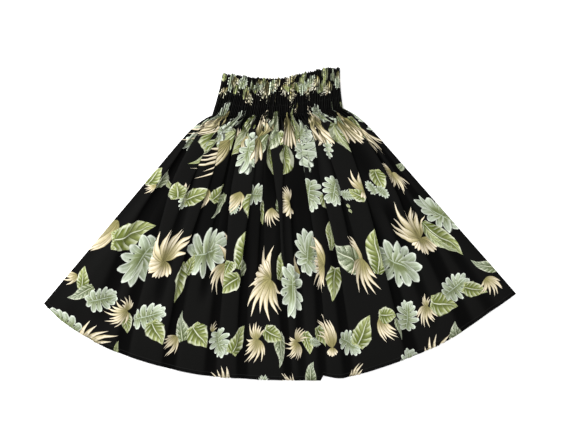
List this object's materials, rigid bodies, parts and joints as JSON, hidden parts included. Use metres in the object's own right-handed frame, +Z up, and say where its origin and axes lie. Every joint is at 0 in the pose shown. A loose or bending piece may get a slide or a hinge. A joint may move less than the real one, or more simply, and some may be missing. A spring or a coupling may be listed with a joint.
{
  "type": "hula skirt",
  "caption": "Full gathered hula skirt of dark leaf-printed cloth with a deep shirred waistband, laid flat front side up, its folds fanning out to a wide curved hem.",
  "frame": {"origin": "centre of the skirt's outline in plan, on the surface that it lies on", "axes": "+X along the hem to the right of the front, +Y from the hem to the waist, +Z up from the surface to the front"},
  "size_m": [1.14, 0.756, 0.0202],
  "materials": {
    "waistband_front_cloth": "woven cotton blend, near-black with a printed leaf garland, closely shirred on elastic",
    "waistband_back_cloth": "woven cotton blend, near-black with a printed leaf garland, closely shirred on elastic",
    "skirt_front_cloth": "woven cotton blend, near-black with printed bands of sage, olive and tan leaves, soft sheen",
    "skirt_back_cloth": "woven cotton blend, near-black with printed bands of sage, olive and tan leaves, soft sheen"
  },
  "bodies": {
    "root": {"waistband_front": "waistband_front_cloth", "waistband_back": "waistband_back_cloth", "skirt_front": "skirt_front_cloth", "skirt_back": "skirt_back_cloth"}
  },
  "joints": []
}
